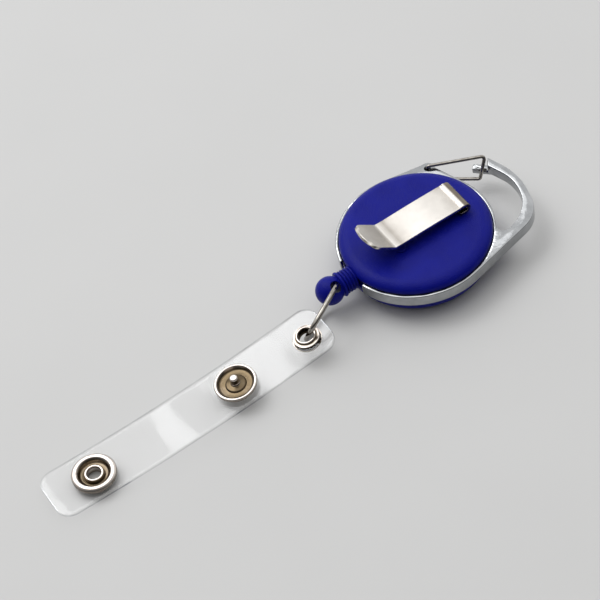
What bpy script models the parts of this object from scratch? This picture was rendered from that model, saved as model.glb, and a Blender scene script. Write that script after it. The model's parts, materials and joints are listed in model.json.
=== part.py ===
"""Retractable badge reel with a wire-gate carabiner frame, a belt clip and a clear snap strap.

The reel lies face down: its front cover is at the bottom, the belt clip on top. The spool's axis is
the Z axis, the hook points to +Y, and the cord leaves the housing towards -Y. Sizes are in
millimetres, and every mesh is scaled to metres as it is made. The strap lies along a slanting line,
flat at its snap end and raised at its eyelet end, where the oval ring holds it up.
"""
import math

import bmesh
import bpy
from mathutils import Matrix, Vector

MM = 0.001
GAP = 0.3

# Housing and frame
COVER_RADIUS = 17.6
FRONT_FLOOR = 1.2
FRAME_BOTTOM = 5.0
FRAME_TOP = 8.0
FRAME_MIDDLE = (FRAME_BOTTOM + FRAME_TOP) / 2
RING_BORE = 17.9
RING_RADIUS = 18.7
LIP_RADIUS = 15.9
COVER_TOP = 10.2
COVER_EDGE_WIDTH = 2.8
COVER_EDGE_HEIGHT = 2.0
FRONT_EDGE_WIDTH = 4.2
FRONT_EDGE_HEIGHT = 4.4
COVER_CEILING = 9.0
WALL_BORE = 15.7
EXIT_HALF_WIDTH = 4.4
EXIT_BLOCK_HALF_WIDTH = 3.9
EXIT_BLOCK_FACE = -17.0

# Hook: control corners of its edges, each with its fillet radius
HOOK_OUTSIDE = (((-7.75, 26.5), 0.0), ((0.4, 29.0), 18.0), ((13.2, 25.6), 8.5), ((18.12, 4.6), 0.0))
HOOK_INSIDE = (((5.5, 15.8), 0.0), ((13.1, 15.2), 1.9), ((10.5, 24.7), 11.0), ((0.6, 27.0), 12.0),
               ((-5.8, 24.95), 0.0))
NOSE_ROOT = (-6.3, 26.4)
NOSE_TIP = (-10.0, 23.0)
NOSE_WIDTH = 1.7
NOSE_THICKNESS = 1.6

# Gate
GATE_PIVOT = (-14.6, 13.5)
GATE_WIRE = 0.42
LOBE_RADIUS = 1.9
GATE_TOP_CORNER = (-8.3, 25.7)
GATE_BOTTOM_CORNER = (-6.8, 22.7)

# Belt clip
CLIP_WIDTH = 8.7
CLIP_STRIP = 0.7
CLIP_BASE_MIDDLE = COVER_TOP + GAP + CLIP_STRIP / 2
CLIP_PLATE_MIDDLE = 12.9
CLIP_BEND_Y = 11.6
CLIP_BASE_END_Y = 5.0
CLIP_TAB_HALF_WIDTH = 2.6
CLIP_TAB_ROOT_Y = 9.6
CLIP_LIP_Y = -7.8
CLIP_TIP = (-13.1, 17.1)
CLIP_TIP_CORNER = 2.2
RIVET_SHANK = 0.95
RIVET_HOLE = 1.3
RIVET_HEAD = 1.9
RIVET_Y = 8.2

# Cord end
CORD_RADIUS = 0.45
BALL_RADIUS = 3.45
BALL_CENTRE = Vector((0.0, -24.1, FRAME_MIDDLE))
BALL_HOLE = 1.45
HOLE_CENTRE = BALL_CENTRE + Vector((0.6, 0.6, 0.0))
STEM_END_Y = -17.6
STEM_RADIUS = 2.35
RIB_RADIUS = 2.7
RIB_COUNT = 4
COLLAR_RADIUS = 3.0
COLLAR_WIDTH = 0.9
CORD_END_Y = -21.0

# Spool and spring
POST_RADIUS = 2.0
SPOOL_BORE = 2.35
SPOOL_RADIUS = 14.9
DRUM_RADIUS = 9.6
CHANNEL_BOTTOM = 5.3
CHANNEL_TOP = 7.5
SPRING_TURNS = 6
SPRING_STRIP = 0.35

# Strap
STRAP_WIDTH = 13.8
STRAP_THICKNESS = 0.6
SNAP_OFFSET = 0.5
STRAP_CORNER = 3.6
STRAP_REST = 1.2
STRAP_RISE = 3.9
STRAP_FLAT_FROM = 55.0
EYELET_PLAN = Vector((6.84, -35.1))
SOCKET_PLAN = Vector((5.9, -91.95))
EYELET_TO_RING_END = 5.2
SOCKET_TO_TAIL_END = 11.4
STUD_AT = 19.1
SOCKET_AT = (SOCKET_PLAN - EYELET_PLAN).length
FOLD_SPLIT = 0.2

# Snaps and eyelet
STUD_RADIUS = 4.8
SOCKET_RADIUS = 5.2
SNAP_HEIGHT = 1.2
SNAP_METAL = 0.4
PIN_RADIUS = 1.1
PIN_HEIGHT = 3.0
TUBE_RADIUS = 2.35
TUBE_BORE = 1.65
EYELET_BARREL = 2.3
EYELET_BORE = 1.9
EYELET_FLANGE = 3.2

# Oval ring
RING_WIRE = 0.6
RING_HALF_WIDTH = 5.3
RING_FLATNESS = 3.0
RING_UP = Vector((0.58, -0.25, 0.78))
RING_PAST_HOLE = 0.45
RING_SHORT_OF_EYELET = 0.4


def clear_scene():
    for thing in list(bpy.data.objects):
        bpy.data.objects.remove(thing, do_unlink=True)


def make_material(name, colour, roughness, metallic=0.0, alpha=1.0):
    material = bpy.data.materials.new(name)
    material.use_nodes = True
    shader = material.node_tree.nodes["Principled BSDF"]
    shader.inputs["Base Color"].default_value = (*colour, 1.0)
    shader.inputs["Roughness"].default_value = roughness
    shader.inputs["Metallic"].default_value = metallic
    shader.inputs["Alpha"].default_value = alpha
    material.diffuse_color = (*colour, alpha)
    return material


def add_object(name, data, material):
    thing = bpy.data.objects.new(name, data)
    bpy.context.scene.collection.objects.link(thing)
    data.materials.append(material)
    return thing


def finish_mesh(name, bm, material, frame=None, smooth_angle=40.0):
    """Close the bmesh into a named object, its millimetres placed by frame and scaled to metres."""
    bmesh.ops.remove_doubles(bm, verts=bm.verts, dist=0.0001)
    bmesh.ops.recalc_face_normals(bm, faces=bm.faces)
    bm.transform(Matrix.Scale(MM, 4) @ (frame or Matrix.Identity(4)))
    mesh = bpy.data.meshes.new(name)
    bm.to_mesh(mesh)
    bm.free()
    mesh.shade_smooth()
    mesh.set_sharp_from_angle(angle=math.radians(smooth_angle))
    return add_object(name, mesh, material)


def lathe(name, profile, material, frame=None, steps=40):
    """Turn a (radius, height) outline about Z. It is a closed loop, or starts and ends on the axis."""
    bm = bmesh.new()
    verts = [bm.verts.new((radius, 0.0, height)) for radius, height in profile]
    edges = [bm.edges.new(pair) for pair in zip(verts, verts[1:])]
    if profile[0][0] > 0:
        edges.append(bm.edges.new((verts[-1], verts[0])))
    bmesh.ops.spin(bm, geom=verts + edges, axis=(0, 0, 1), cent=(0, 0, 0), angle=math.tau,
                   steps=steps, use_merge=True)
    return finish_mesh(name, bm, material, frame)


def prism(name, outline, low, high, material, frame=None):
    """Raise a flat (x, y) outline from height low to height high."""
    bm = bmesh.new()
    base = bm.faces.new([bm.verts.new((x, y, low)) for x, y in outline])
    raised = bmesh.ops.extrude_face_region(bm, geom=[base])["geom"]
    top = [item for item in raised if isinstance(item, bmesh.types.BMVert)]
    bmesh.ops.translate(bm, verts=top, vec=(0, 0, high - low))
    return finish_mesh(name, bm, material, frame)


def tube(name, points, radius, material, resolution=2, cyclic=False):
    """Bend a round wire along the points."""
    curve = bpy.data.curves.new(name, "CURVE")
    curve.dimensions = "3D"
    curve.bevel_depth = radius * MM
    curve.bevel_resolution = resolution
    curve.use_fill_caps = not cyclic
    spline = curve.splines.new("POLY")
    spline.points.add(len(points) - 1)
    for spot, point in zip(spline.points, points):
        spot.co = (*(Vector(point) * MM), 1.0)
    spline.use_cyclic_u = cyclic
    return add_object(name, curve, material)


def fillet(corners, step=math.radians(12)):
    """Round each (corner, radius) of an open path with an arc tangent to both of its runs."""
    spots = [Vector(corner).to_3d() for corner, radius in corners]
    path = [spots[0]]
    for before, (corner, radius), after in zip(spots, corners[1:-1], spots[2:]):
        corner = Vector(corner).to_3d()
        back = (before - corner).normalized()
        ahead = (after - corner).normalized()
        half = back.angle(ahead) / 2
        centre = corner + (back + ahead).normalized() * (radius / math.sin(half))
        reach = radius / math.tan(half)
        start = corner + back * reach - centre
        axis = start.cross(corner + ahead * reach - centre)
        turn = math.pi - 2 * half
        count = max(2, math.ceil(turn / step))
        for index in range(count + 1):
            path.append(centre + Matrix.Rotation(turn * index / count, 3, axis) @ start)
    path.append(spots[-1])
    return path


def arc(centre, radius, start, end, count):
    """Points of a flat arc, its angles in degrees."""
    angles = [math.radians(start + (end - start) * index / count) for index in range(count + 1)]
    return [(centre[0] + radius * math.cos(a), centre[1] + radius * math.sin(a)) for a in angles]


def circle_cutter(name, centre, radius, low, high, frame=None, steps=32):
    """An upright cylinder that only cuts."""
    place = (frame or Matrix.Identity(4)) @ Matrix.Translation((centre[0], centre[1], 0))
    return lathe(name, [(0, low), (radius, low), (radius, high), (0, high)], GUIDE, place, steps)


def box_cutter(name, low, high):
    outline = [(low[0], low[1]), (high[0], low[1]), (high[0], high[1]), (low[0], high[1])]
    return prism(name, outline, low[2], high[2], GUIDE)


def combine(target, guide, operation):
    """Join, cut or trim target with a guide object, which stays hidden."""
    guide.hide_render = True
    guide.display_type = "WIRE"
    modifier = target.modifiers.new(guide.name, "BOOLEAN")
    modifier.operation = operation
    modifier.object = guide
    modifier.solver = "EXACT"


def strap_height(distance):
    """Height of the strap's middle surface at a distance from the eyelet towards the tail."""
    return STRAP_REST + STRAP_RISE * max(0.0, 1 - distance / STRAP_FLAT_FROM) ** 2


def strap_frame(distance):
    """Frame on the strap: X across it, Y along it towards the ring, Z out of its upper face."""
    run = (SOCKET_PLAN - EYELET_PLAN).normalized()
    spot = EYELET_PLAN + run * distance
    step = 0.01
    rise = (strap_height(distance - step) - strap_height(distance + step)) / (2 * step)
    along = Vector((-run.x, -run.y, rise)).normalized()
    across = Vector((-run.y, run.x, 0))
    normal = across.cross(along)
    frame = Matrix((across, along, normal)).transposed().to_4x4()
    frame.translation = (spot.x, spot.y, strap_height(distance))
    return frame


def fold_axis():
    """Centre and angle of the turn that lays the socket face to face on the stud."""
    stud = strap_frame(STUD_AT)
    socket = strap_frame(SOCKET_AT)
    face = STRAP_THICKNESS / 2 + GAP + SNAP_HEIGHT
    across = stud.col[0].to_3d()
    target = stud @ Vector((0, 0, face + GAP))
    start = socket @ Vector((0, 0, face))
    turn = math.pi - stud.col[2].to_3d().angle(socket.col[2].to_3d())
    middle = (start + target) / 2
    half_span = (target - start) / 2
    lift = half_span.cross(across) / math.tan(turn / 2)
    return middle + lift, across, turn


def make_frame():
    """Die-cast frame: split ring, hook arm, gate lobe and nose."""
    lip_low = FRAME_MIDDLE - 0.5
    lip_high = FRAME_MIDDLE + 0.5
    ring = [(RING_BORE, FRAME_TOP), (RING_RADIUS, FRAME_TOP), (RING_RADIUS, FRAME_BOTTOM),
            (RING_BORE, FRAME_BOTTOM), (RING_BORE, lip_low), (LIP_RADIUS, lip_low),
            (LIP_RADIUS, lip_high), (RING_BORE, lip_high)]
    frame = lathe("carabiner_frame", ring, CHROME, steps=64)
    hook_outline = [(p.x, p.y) for p in fillet(HOOK_OUTSIDE) + fillet(HOOK_INSIDE)]
    hook = prism("guide_hook", hook_outline, FRAME_BOTTOM, FRAME_TOP, GUIDE)
    lobe_edge = arc(GATE_PIVOT, LOBE_RADIUS, 62, 190, 10)
    left_tangent = arc((0, 0), RING_RADIUS - 0.05, 165, 112, 12)
    lobe = prism("guide_lobe", left_tangent + lobe_edge, FRAME_BOTTOM, FRAME_TOP, GUIDE)
    trim = circle_cutter("guide_bore", (0, 0), RING_RADIUS - 0.5, 0, 12, steps=64)
    combine(hook, trim, "DIFFERENCE")
    combine(lobe, trim, "DIFFERENCE")
    combine(frame, hook, "UNION")
    combine(frame, lobe, "UNION")
    combine(frame, make_nose(), "UNION")
    exit_low = (-EXIT_HALF_WIDTH, -RING_RADIUS - 1, 0)
    exit_high = (EXIT_HALF_WIDTH, -LIP_RADIUS + 2.5, 12)
    combine(frame, box_cutter("cut_cord_exit", exit_low, exit_high), "DIFFERENCE")
    hole = circle_cutter("cut_gate_hole", GATE_PIVOT, GATE_WIRE + 0.35, 0, 12)
    combine(frame, hole, "DIFFERENCE")
    return frame


def make_nose():
    """Thin nose that the gate's cross wire rests against, inside the wire loop."""
    root = Vector(NOSE_ROOT)
    tip = Vector(NOSE_TIP)
    side = (tip - root).normalized().orthogonal() * (NOSE_WIDTH / 2)
    outline = [root - side, root + side, tip + side, tip - side]
    low = FRAME_MIDDLE - NOSE_THICKNESS / 2
    nose = prism("guide_nose", outline, low, low + NOSE_THICKNESS, GUIDE)
    rest_high = Vector((*GATE_TOP_CORNER, FRAME_TOP + GAP + GATE_WIRE))
    rest_low = Vector((*GATE_BOTTOM_CORNER, FRAME_BOTTOM - GAP - GATE_WIRE))
    away = rest_high - rest_low
    turn = away.to_track_quat("Z", "Y").to_matrix().to_4x4()
    place = Matrix.Translation(rest_low) @ turn
    clearance = GATE_WIRE + 0.35
    notch = circle_cutter("cut_nose_notch", (0, 0), clearance, 0, away.length, place)
    combine(nose, notch, "DIFFERENCE")
    return nose


def make_gate():
    """Wire gate: one bent wire, both of its ends turned into the lobe's hole."""
    high = FRAME_TOP + GAP + GATE_WIRE
    low = FRAME_BOTTOM - GAP - GATE_WIRE
    bend = 0.9
    corners = (((*GATE_PIVOT, FRAME_MIDDLE + 0.4), 0.0), ((*GATE_PIVOT, high), bend),
               ((*GATE_TOP_CORNER, high), bend), ((*GATE_BOTTOM_CORNER, low), bend),
               ((*GATE_PIVOT, low), bend), ((*GATE_PIVOT, FRAME_MIDDLE - 0.4), 0.0))
    path = fillet(corners, step=math.radians(20))
    return tube("gate_wire", path, GATE_WIRE, STEEL, resolution=2)


def make_exit_block(name, low, high):
    """Wall piece that fills the frame's split around the cord hole."""
    corner = (-EXIT_BLOCK_HALF_WIDTH, EXIT_BLOCK_FACE, low)
    return box_cutter(name, corner, (EXIT_BLOCK_HALF_WIDTH, GAP - WALL_BORE, high))


def make_cord_hole(name):
    lie_along_y = Matrix.Translation((0, -13.0, FRAME_MIDDLE)) @ Matrix.Rotation(math.pi / 2, 4, "X")
    return circle_cutter(name, (0, 0), CORD_RADIUS + 0.45, 0, 6, lie_along_y)


def cover_edge(width, height, face, side):
    """Quarter ellipse from a cover's flat face out to its wall. Side is 1 above and -1 below."""
    return [(COVER_RADIUS - width + width * x, face - side * height + side * height * y)
            for x, y in arc((0, 0), 1, 90, 0, 6)]


def make_back_cover():
    wall_low = FRAME_MIDDLE + 0.5 + GAP
    edge = cover_edge(COVER_EDGE_WIDTH, COVER_EDGE_HEIGHT, COVER_TOP, 1)
    profile = ([(0, COVER_TOP)] + edge
               + [(COVER_RADIUS, wall_low), (WALL_BORE, wall_low), (WALL_BORE, COVER_CEILING),
                  (0, COVER_CEILING)])
    cover = lathe("back_cover", profile, BLUE, steps=56)
    block = make_exit_block("guide_back_exit", FRAME_MIDDLE + GAP / 2, wall_low + 0.4)
    combine(cover, block, "UNION")
    combine(cover, make_cord_hole("cut_back_cord_hole"), "DIFFERENCE")
    rivet_hole = circle_cutter("cut_cover_rivet_hole", (0, RIVET_Y), RIVET_HOLE, 8, 12)
    combine(cover, rivet_hole, "DIFFERENCE")
    return cover


def make_front_cover():
    wall_high = FRAME_MIDDLE - 0.5 - GAP
    edge = cover_edge(FRONT_EDGE_WIDTH, FRONT_EDGE_HEIGHT, 0, -1)[::-1]
    profile = ([(0, FRONT_FLOOR), (WALL_BORE, FRONT_FLOOR), (WALL_BORE, wall_high),
                (COVER_RADIUS, wall_high)] + edge + [(0, 0)])
    cover = lathe("front_cover", profile, BLUE, steps=56)
    block = make_exit_block("guide_front_exit", wall_high - 0.4, FRAME_MIDDLE - GAP / 2)
    combine(cover, block, "UNION")
    combine(cover, make_cord_hole("cut_front_cord_hole"), "DIFFERENCE")
    return cover


def bent_strip(name, middle_line, round_tip):
    """Flat strip of CLIP_STRIP thickness whose middle follows (y, z) points, as wide as the clip."""
    spots = [Vector(point) for point in middle_line]
    sides = ([], [])
    for index, spot in enumerate(spots):
        ahead = spots[min(index + 1, len(spots) - 1)] - spots[max(index - 1, 0)]
        normal = Vector((-ahead.y, ahead.x)).normalized() * (CLIP_STRIP / 2)
        sides[0].append(spot + normal)
        sides[1].append(spot - normal)
    bm = bmesh.new()
    outline = sides[0] + sides[1][::-1]
    face = bm.faces.new([bm.verts.new((-CLIP_WIDTH / 2, p.x, p.y)) for p in outline])
    raised = bmesh.ops.extrude_face_region(bm, geom=[face])["geom"]
    far = [item for item in raised if isinstance(item, bmesh.types.BMVert)]
    bmesh.ops.translate(bm, verts=far, vec=(CLIP_WIDTH, 0, 0))
    if round_tip:
        tip_y = spots[-1].x
        near_tip = [e for e in bm.edges if abs(e.verts[0].co.x - e.verts[1].co.x) < 0.01
                    and all(abs(v.co.y - tip_y) < CLIP_STRIP for v in e.verts)]
        bmesh.ops.bevel(bm, geom=near_tip, offset=round_tip, segments=4, profile=0.5,
                        affect="EDGES", clamp_overlap=True)
    return finish_mesh(name, bm, NICKEL)


def make_clip():
    """Belt clip: a riveted base tab and the spring tongue over it, joined at the U bend."""
    bend_middle = (CLIP_BASE_MIDDLE + CLIP_PLATE_MIDDLE) / 2
    bend_radius = (CLIP_PLATE_MIDDLE - CLIP_BASE_MIDDLE) / 2
    centre = (CLIP_BEND_Y, bend_middle)
    half_gap = math.degrees(GAP / 2 / bend_radius) + 1
    base_line = [(CLIP_BASE_END_Y, CLIP_BASE_MIDDLE)] + arc(centre, bend_radius, -90, -half_gap, 7)
    base = bent_strip("clip_base", base_line, 0)
    rivet_hole = circle_cutter("cut_base_rivet_hole", (0, RIVET_Y), RIVET_HOLE, 8, 14)
    combine(base, rivet_hole, "DIFFERENCE")
    low, high = CLIP_BASE_MIDDLE - CLIP_STRIP, CLIP_BASE_MIDDLE + CLIP_STRIP
    for side in (-1, 1):
        near, far = sorted((side * CLIP_TAB_HALF_WIDTH, side * CLIP_WIDTH))
        beside = box_cutter("cut_beside_tab_%d" % side, (near, CLIP_BASE_END_Y - 1, low),
                            (far, CLIP_TAB_ROOT_Y, high))
        combine(base, beside, "DIFFERENCE")
    lip = fillet((((CLIP_BEND_Y, CLIP_PLATE_MIDDLE), 0.0), ((CLIP_LIP_Y, CLIP_PLATE_MIDDLE), 1.6),
                  (CLIP_TIP, 0.0)))
    tongue_line = arc(centre, bend_radius, half_gap, 90, 7)[:-1] + [(p.x, p.y) for p in lip]
    tongue = bent_strip("clip_tongue", tongue_line, CLIP_TIP_CORNER)
    return base, tongue


def make_rivet():
    """Clip rivet through the base tab, its shank pressed into the back cover."""
    head = CLIP_BASE_MIDDLE + CLIP_STRIP / 2 + GAP
    end = COVER_CEILING + 0.1
    profile = [(0, head + 0.4), (RIVET_HEAD - 0.6, head + 0.35), (RIVET_HEAD, head + 0.1),
               (RIVET_HEAD, head), (RIVET_SHANK, head), (RIVET_SHANK, end), (0, end)]
    return lathe("clip_rivet", profile, NICKEL, Matrix.Translation((0, RIVET_Y, 0)), steps=24)


def make_post():
    """Fixed centre post that carries the spool."""
    top = COVER_CEILING - GAP
    base = FRONT_FLOOR + GAP
    profile = [(0, top), (POST_RADIUS, top), (POST_RADIUS, base), (0, base)]
    return lathe("centre_post", profile, STEEL, steps=24)


def make_spool():
    """Spool: cord drum between two flanges over a cup that holds the spring."""
    cup_low = FRONT_FLOOR + 0.4
    plate_low = CHANNEL_BOTTOM - 0.6
    flange_top = CHANNEL_TOP + 0.5
    cup_bore = 13.6
    profile = [(SPOOL_BORE, flange_top), (3.6, flange_top), (3.6, CHANNEL_BOTTOM),
               (DRUM_RADIUS - 1, CHANNEL_BOTTOM), (DRUM_RADIUS - 1, flange_top),
               (SPOOL_RADIUS, flange_top), (SPOOL_RADIUS, CHANNEL_TOP), (DRUM_RADIUS, CHANNEL_TOP),
               (DRUM_RADIUS, CHANNEL_BOTTOM), (SPOOL_RADIUS, CHANNEL_BOTTOM),
               (SPOOL_RADIUS, plate_low), (cup_bore + 1, plate_low), (cup_bore + 1, cup_low),
               (cup_bore, cup_low), (cup_bore, plate_low), (SPOOL_BORE, plate_low)]
    return lathe("spool", profile, WHITE_PLASTIC, steps=40)


def make_wound_cord():
    inner = DRUM_RADIUS + GAP
    outer = SPOOL_RADIUS - 0.7
    low = CHANNEL_BOTTOM + GAP
    high = CHANNEL_TOP - GAP
    soft = 0.4
    profile = [(inner, high), (outer - soft, high), (outer, high - soft), (outer, low + soft),
               (outer - soft, low), (inner, low)]
    return lathe("wound_cord", profile, CORD_BLACK, steps=40)


def make_power_spring():
    """Flat spiral spring between the centre post and the spool's cup."""
    inner = POST_RADIUS + 0.6
    outer = 12.9
    per_turn = 24
    count = SPRING_TURNS * per_turn
    outline_in = []
    outline_out = []
    for index in range(count + 1):
        angle = math.tau * index / per_turn
        radius = inner + (outer - inner) * index / count
        direction = Vector((math.cos(angle), math.sin(angle)))
        outline_in.append(direction * (radius - SPRING_STRIP / 2))
        outline_out.append(direction * (radius + SPRING_STRIP / 2))
    bm = bmesh.new()
    low, high = FRONT_FLOOR + 0.9, CHANNEL_BOTTOM - 1.0
    rings = []
    for near, far in zip(outline_in, outline_out):
        corners = ((near, low), (far, low), (far, high), (near, high))
        rings.append([bm.verts.new((p.x, p.y, z)) for p, z in corners])
    for ring, following in zip(rings, rings[1:]):
        for side in range(4):
            turn = (side + 1) % 4
            bm.faces.new((ring[side], ring[turn], following[turn], following[side]))
    bm.faces.new(rings[0])
    bm.faces.new(rings[-1])
    return finish_mesh("power_spring", bm, STEEL)


def make_cord_lead():
    start = -(SPOOL_RADIUS - 0.7) - GAP
    count = 4
    points = [(0, start + (CORD_END_Y - start) * index / count, FRAME_MIDDLE)
              for index in range(count + 1)]
    return tube("cord_lead", points, CORD_RADIUS, CORD_BLACK, resolution=2)


def make_bead():
    """Ball end: ribbed stem, collar and ball turned about the cord, with a hole across the ball."""
    ball_start = 2.3
    collar_back = BALL_CENTRE.y + ball_start + 0.2
    collar_front = collar_back + COLLAR_WIDTH
    pitch = (STEM_END_Y - collar_front) / RIB_COUNT
    profile = [(0, CORD_END_Y - GAP), (CORD_RADIUS + GAP, CORD_END_Y - GAP),
               (CORD_RADIUS + GAP, STEM_END_Y)]
    for rib in range(RIB_COUNT):
        top = STEM_END_Y - rib * pitch
        profile += [(STEM_RADIUS, top), (STEM_RADIUS, top - pitch * 0.45),
                    (RIB_RADIUS, top - pitch * 0.55), (RIB_RADIUS, top - pitch * 0.9)]
    profile += [(COLLAR_RADIUS, collar_front), (COLLAR_RADIUS, collar_back)]
    start = math.degrees(math.asin(ball_start / BALL_RADIUS))
    profile += arc((0, BALL_CENTRE.y), BALL_RADIUS, start, -90, 16)[:-1]
    profile += [(0, BALL_CENTRE.y - BALL_RADIUS)]
    along_y = Matrix.Translation((0, 0, FRAME_MIDDLE)) @ Matrix.Rotation(-math.pi / 2, 4, "X")
    bead = lathe("cord_bead", profile, BLUE, along_y, steps=24)
    place = Matrix.Translation(HOLE_CENTRE) @ ring_frame().to_3x3().to_4x4()
    hole = circle_cutter("cut_ball_hole", (0, 0), BALL_HOLE, -5, 5, place, steps=24)
    combine(bead, hole, "DIFFERENCE")
    return bead


def ring_ends():
    """Centres of the wire in the ball's hole and in the eyelet, and the direction between them."""
    eyelet = strap_frame(0).translation
    along = (eyelet - HOLE_CENTRE).normalized()
    return HOLE_CENTRE - along * RING_PAST_HOLE, eyelet - along * RING_SHORT_OF_EYELET, along


def ring_frame():
    """Frame of the oval ring: X along its length to the eyelet, Z along the wire at each end."""
    near_ball, near_eyelet, along = ring_ends()
    up = (RING_UP - along * RING_UP.dot(along)).normalized()
    frame = Matrix((along, up.cross(along), up)).transposed().to_4x4()
    frame.translation = (near_ball + near_eyelet) / 2
    return frame


def make_link_ring():
    """Oval wire ring, flatter at its two ends than an ellipse."""
    count = 40
    place = ring_frame()
    near_ball, near_eyelet, _ = ring_ends()
    half_length = (near_eyelet - near_ball).length / 2
    power = 2 / RING_FLATNESS
    points = []
    for index in range(count):
        angle = math.tau * index / count
        along = math.copysign(abs(math.cos(angle)) ** power, math.cos(angle)) * half_length
        up = math.copysign(abs(math.sin(angle)) ** power, math.sin(angle)) * RING_HALF_WIDTH
        points.append(place @ Vector((along, 0, up)))
    return tube("link_ring", points, RING_WIRE, STEEL, resolution=2, cyclic=True)


def strap_piece(name, start, end, round_start, round_end):
    """Bent strip of the strap between two distances from the eyelet, its free corners rounded."""
    count = max(8, round((end - start) / 2.5))
    stations = {start + (end - start) * index / count for index in range(count + 1)}
    for rounded, edge, sign in ((round_start, start, 1), (round_end, end, -1)):
        if rounded:
            for index in range(6):
                stations.add(edge + sign * STRAP_CORNER * (1 - math.cos(math.radians(15 * index))))
    bm = bmesh.new()
    rings = []
    for distance in sorted(stations):
        inset = 0.0
        for rounded, edge in ((round_start, start), (round_end, end)):
            depth = STRAP_CORNER - abs(distance - edge)
            if rounded and depth > 0:
                inset = STRAP_CORNER - math.sqrt(STRAP_CORNER ** 2 - depth ** 2)
        place = strap_frame(distance)
        left = inset - STRAP_WIDTH / 2 - SNAP_OFFSET
        right = STRAP_WIDTH / 2 - SNAP_OFFSET - inset
        skin = STRAP_THICKNESS / 2
        corners = ((left, -skin), (right, -skin), (right, skin), (left, skin))
        rings.append([bm.verts.new(place @ Vector((x, 0, z))) for x, z in corners])
    for ring, following in zip(rings, rings[1:]):
        for side in range(4):
            turn = (side + 1) % 4
            bm.faces.new((ring[side], ring[turn], following[turn], following[side]))
    bm.faces.new(rings[0])
    bm.faces.new(rings[-1])
    return finish_mesh(name, bm, VINYL)


def make_strap():
    """Clear strap: the tab keeps the eyelet and stud, and the flap folds over it with the socket."""
    fold_at = fold_distance()
    tab = strap_piece("strap_tab", -EYELET_TO_RING_END, fold_at - FOLD_SPLIT, True, False)
    tail = SOCKET_AT + SOCKET_TO_TAIL_END
    flap = strap_piece("strap_flap", fold_at + FOLD_SPLIT, tail, False, True)
    holes = ((tab, "cut_eyelet_hole", 0.0, EYELET_BARREL + GAP),
             (tab, "cut_stud_hole", STUD_AT, PIN_RADIUS + GAP),
             (flap, "cut_socket_hole", SOCKET_AT, TUBE_RADIUS + GAP))
    for piece, name, distance, radius in holes:
        combine(piece, circle_cutter(name, (0, 0), radius, -3, 3, strap_frame(distance)), "DIFFERENCE")
    return tab, flap


def fold_distance():
    """Distance of the fold axis from the eyelet, measured along the strap's plan line."""
    centre = fold_axis()[0]
    run = (SOCKET_PLAN - EYELET_PLAN).normalized()
    return (centre.to_2d() - EYELET_PLAN).dot(run)


def make_eyelet():
    """Eyelet through the strap and the washer that it is set against."""
    upper = STRAP_THICKNESS / 2 + GAP
    lower = -upper
    place = strap_frame(0)
    rim = 0.35
    barrel = [(EYELET_BORE, upper + rim + 0.3), (EYELET_BARREL, upper + rim + 0.3),
              (EYELET_BARREL, upper + rim), (EYELET_FLANGE, upper + rim - 0.1), (EYELET_FLANGE, upper),
              (EYELET_BARREL, upper), (EYELET_BARREL, lower - rim), (EYELET_BORE, lower - rim)]
    eyelet = lathe("strap_eyelet", barrel, NICKEL, place, steps=24)
    inner = EYELET_BARREL + GAP
    ring = [(inner, lower), (EYELET_FLANGE + 0.3, lower), (EYELET_FLANGE + 0.3, lower - rim),
            (inner, lower - rim)]
    washer = lathe("eyelet_washer", ring, NICKEL, place, steps=24)
    return eyelet, washer


def make_stud():
    """Snap stud: a shallow dish with a rolled rim, a boss and the pin, and its rivet below."""
    base = STRAP_THICKNESS / 2 + GAP
    rim = base + SNAP_HEIGHT
    place = strap_frame(STUD_AT)
    floor = base + SNAP_METAL
    profile = [(0, base + PIN_HEIGHT), (PIN_RADIUS * 0.7, base + PIN_HEIGHT),
               (PIN_RADIUS, base + PIN_HEIGHT - 0.4), (PIN_RADIUS, floor + 0.35),
               (TUBE_RADIUS, floor + 0.35), (TUBE_RADIUS, floor), (STUD_RADIUS - 0.9, floor),
               (STUD_RADIUS - 0.5, rim - 0.2), (STUD_RADIUS - 0.2, rim), (STUD_RADIUS, rim - 0.2),
               (STUD_RADIUS, base), (0, base)]
    stud = lathe("snap_stud", profile, NICKEL, place, steps=32)
    under = -STRAP_THICKNESS / 2 - GAP
    post = [(0, STRAP_THICKNESS / 2), (PIN_RADIUS - 0.1, STRAP_THICKNESS / 2),
            (PIN_RADIUS - 0.1, under), (3.2, under), (3.0, under - 0.4), (0, under - 0.5)]
    rivet = lathe("stud_rivet", post, NICKEL, place, steps=24)
    return stud, rivet


def make_socket():
    """Snap socket: a dish with a broad rim, set on the hollow rivet that the pin enters."""
    base = STRAP_THICKNESS / 2 + GAP
    rim = base + SNAP_HEIGHT
    place = strap_frame(SOCKET_AT)
    floor = base + SNAP_METAL
    inner = TUBE_RADIUS + GAP
    profile = [(inner, floor), (SOCKET_RADIUS - 1.4, floor), (SOCKET_RADIUS - 1.1, rim - 0.1),
               (SOCKET_RADIUS - 0.7, rim), (SOCKET_RADIUS - 0.2, rim - 0.1),
               (SOCKET_RADIUS, rim - 0.4), (SOCKET_RADIUS, base), (inner, base)]
    socket = lathe("snap_socket", profile, NICKEL, place, steps=32)
    under = -STRAP_THICKNESS / 2 - GAP
    tube_top = floor + 0.6
    barrel = [(TUBE_BORE, tube_top), (TUBE_RADIUS, tube_top), (TUBE_RADIUS, under), (3.4, under),
              (3.4, under - 0.3), (TUBE_BORE, under - 0.3)]
    rivet = lathe("socket_rivet", barrel, NICKEL, place, steps=24)
    return socket, rivet


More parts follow.
